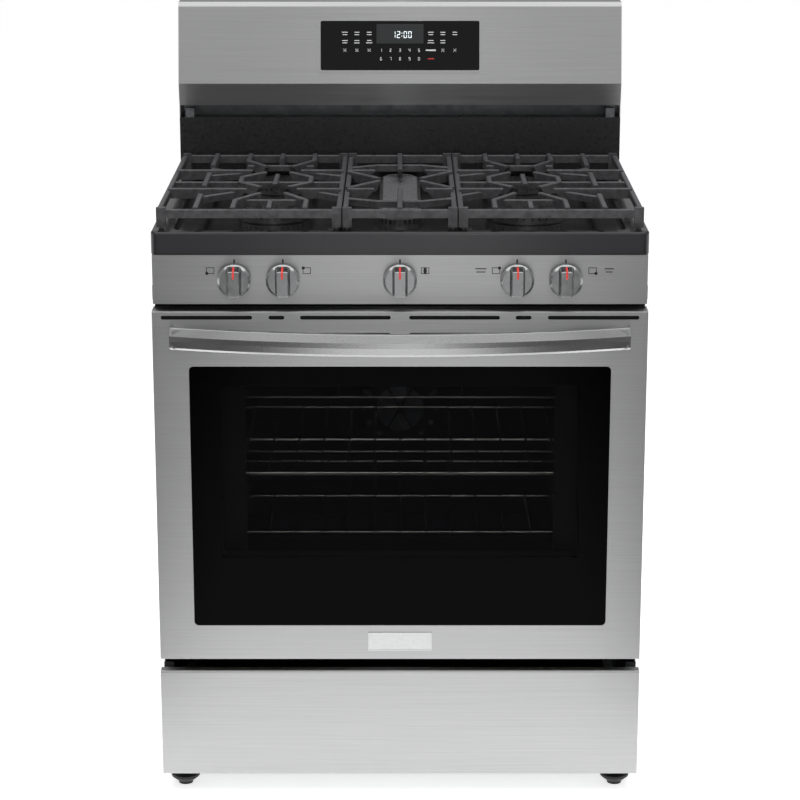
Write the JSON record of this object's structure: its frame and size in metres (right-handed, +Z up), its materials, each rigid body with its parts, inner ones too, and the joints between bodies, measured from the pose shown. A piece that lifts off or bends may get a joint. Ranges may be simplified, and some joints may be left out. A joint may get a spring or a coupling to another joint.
{
  "type": "freestanding gas range",
  "caption": "Freestanding gas range: drop-down oven door with a window, storage drawer, cast grates over gas burners, push-and-turn knobs and a raised backguard with touch controls.",
  "frame": {"origin": "on the floor, in the middle of the overall width and depth", "axes": "+Z up, +X to the right seen from the front, and the door faces -Y"},
  "size_m": [0.759, 0.7209, 1.194],
  "materials": {
    "stainless": "brushed horizontally",
    "black_enamel": "glossy vitreous enamel",
    "oven_enamel": "speckled dark vitreous enamel",
    "side_paint": "satin charcoal paint",
    "black_paint": "matt black heatproof paint",
    "zinc_steel": "galvanised",
    "bright_wire": "bright wire",
    "hinge_steel": "plain pressed steel",
    "cast_iron": "matt enamelled casting",
    "burner_aluminium": "die-cast",
    "knob_metal": "satin metal over a die-cast body",
    "black_glass": "black printed glass, clear in the middle",
    "clear_glass": "clear heatproof glass",
    "brass": "plain",
    "ceramic": "white porcelain",
    "rubber": "matt",
    "black_plastic": "moulded",
    "gasket_braid": "braided glass fibre",
    "wool": "mineral wool",
    "circuit": "printed circuit board"
  },
  "bodies": {
    "case": {"left_side_panel": "side_paint", "right_side_panel": "side_paint", "back_panel": "zinc_steel", "base_frame": "zinc_steel", "levelling_feet": "black_plastic", "rear_screws": "zinc_steel", "front_frame": "black_enamel", "door_gasket": "gasket_braid", "hinge_brackets": "hinge_steel", "drawer_rails": "zinc_steel", "oven_liner": "oven_enamel", "oven_insulation": "wool", "oven_floor": "oven_enamel", "bake_burner": "zinc_steel", "broil_burner": "zinc_steel", "fan_guard": "oven_enamel", "fan_motor": "zinc_steel", "oven_lamp": "clear_glass", "flue_duct": "zinc_steel", "cooktop": "black_enamel", "burner_heads": "burner_aluminium", "burner_caps": "black_enamel", "igniters": "ceramic", "control_panel": "stainless", "manifold_pipe": "zinc_steel", "gas_valves": "brass", "burner_tubes": "burner_aluminium", "pressure_regulator": "burner_aluminium", "backguard_shell": "stainless", "splash_panel": "black_enamel", "vent_end_blocks": "hinge_steel", "control_glass": "black_glass", "control_board": "circuit", "cord_gland": "black_plastic"},
    "door": {"door_skin": "stainless", "door_outer_glass": "black_glass", "door_window_frame": "black_paint", "door_inner_glass": "clear_glass", "door_inner_panel": "oven_enamel", "door_handle": "stainless", "door_badge": "knob_metal", "door_hinges": "hinge_steel"},
    "drawer": {"drawer_front": "stainless", "drawer_box": "black_paint"},
    "grate_left": {"grate_left": "cast_iron"},
    "grate_center": {"grate_center": "cast_iron"},
    "grate_right": {"grate_right": "cast_iron"},
    "convection_fan": {"convection_fan": "zinc_steel"},
    "oven_rack_upper": {"oven_rack_upper": "bright_wire"},
    "oven_rack_lower": {"oven_rack_lower": "bright_wire"},
    "knob_1": {"knob_1": "knob_metal"},
    "knob_2": {"knob_2": "knob_metal"},
    "knob_3": {"knob_3": "knob_metal"},
    "knob_4": {"knob_4": "knob_metal"},
    "knob_5": {"knob_5": "knob_metal"},
    "valve_stem_1": {"valve_stem_1": "brass"},
    "valve_stem_2": {"valve_stem_2": "brass"},
    "valve_stem_3": {"valve_stem_3": "brass"},
    "valve_stem_4": {"valve_stem_4": "brass"},
    "valve_stem_5": {"valve_stem_5": "brass"}
  },
  "joints": [
    {"name": "door_hinge", "type": "hinge", "parent": "case", "child": "door", "pos_m": [0, -0.2535, 0.254], "axis": [1, 0, 0], "range_deg": [0, 90], "stiffness_Nm_per_rad": 16, "springref_deg": -22.92},
    {"name": "drawer_slide", "type": "slide", "parent": "case", "child": "drawer", "axis": [0, -1, 0], "range_m": [0, 0.4]},
    {"name": "rack_lower_slide", "type": "slide", "parent": "case", "child": "oven_rack_lower", "axis": [0, -1, 0], "range_m": [0, 0.3142]},
    {"name": "rack_upper_slide", "type": "slide", "parent": "case", "child": "oven_rack_upper", "axis": [0, -1, 0], "range_m": [0, 0.3142]},
    {"name": "fan_spin", "type": "hinge", "parent": "case", "child": "convection_fan", "pos_m": [0, 0.2465, 0.4968], "axis": [0, -1, 0], "continuous": true},
    {"name": "grate_left_lift", "type": "slide", "parent": "case", "child": "grate_left", "axis": [0, 0, 1], "range_m": [0, 0.08]},
    {"name": "grate_center_lift", "type": "slide", "parent": "case", "child": "grate_center", "axis": [0, 0, 1], "range_m": [0, 0.08]},
    {"name": "grate_right_lift", "type": "slide", "parent": "case", "child": "grate_right", "axis": [0, 0, 1], "range_m": [0, 0.08]},
    {"name": "knob_1_push", "type": "slide", "parent": "case", "child": "valve_stem_1", "axis": [0, 1, 0], "range_m": [0, 0.003], "stiffness_N_per_m": 500},
    {"name": "knob_1_turn", "type": "hinge", "parent": "valve_stem_1", "child": "knob_1", "pos_m": [-0.252, -0.2935, 0.835], "axis": [0, -1, 0], "range_deg": [0, 270]},
    {"name": "knob_2_push", "type": "slide", "parent": "case", "child": "valve_stem_2", "axis": [0, 1, 0], "range_m": [0, 0.003], "stiffness_N_per_m": 500},
    {"name": "knob_2_turn", "type": "hinge", "parent": "valve_stem_2", "child": "knob_2", "pos_m": [-0.178, -0.2935, 0.835], "axis": [0, -1, 0], "range_deg": [0, 270]},
    {"name": "knob_3_push", "type": "slide", "parent": "case", "child": "valve_stem_3", "axis": [0, 1, 0], "range_m": [0, 0.003], "stiffness_N_per_m": 500},
    {"name": "knob_3_turn", "type": "hinge", "parent": "valve_stem_3", "child": "knob_3", "pos_m": [0, -0.2935, 0.835], "axis": [0, -1, 0], "range_deg": [0, 270]},
    {"name": "knob_4_push", "type": "slide", "parent": "case", "child": "valve_stem_4", "axis": [0, 1, 0], "range_m": [0, 0.003], "stiffness_N_per_m": 500},
    {"name": "knob_4_turn", "type": "hinge", "parent": "valve_stem_4", "child": "knob_4", "pos_m": [0.178, -0.2935, 0.835], "axis": [0, -1, 0], "range_deg": [0, 270]},
    {"name": "knob_5_push", "type": "slide", "parent": "case", "child": "valve_stem_5", "axis": [0, 1, 0], "range_m": [0, 0.003], "stiffness_N_per_m": 500},
    {"name": "knob_5_turn", "type": "hinge", "parent": "valve_stem_5", "child": "knob_5", "pos_m": [0.252, -0.2935, 0.835], "axis": [0, -1, 0], "range_deg": [0, 270]}
  ],
  "couplings": [
    {"joint": "rack_lower_slide", "follows": "door_hinge", "m_per_rad": 0.2},
    {"joint": "rack_upper_slide", "follows": "door_hinge", "m_per_rad": 0.2}
  ]
}
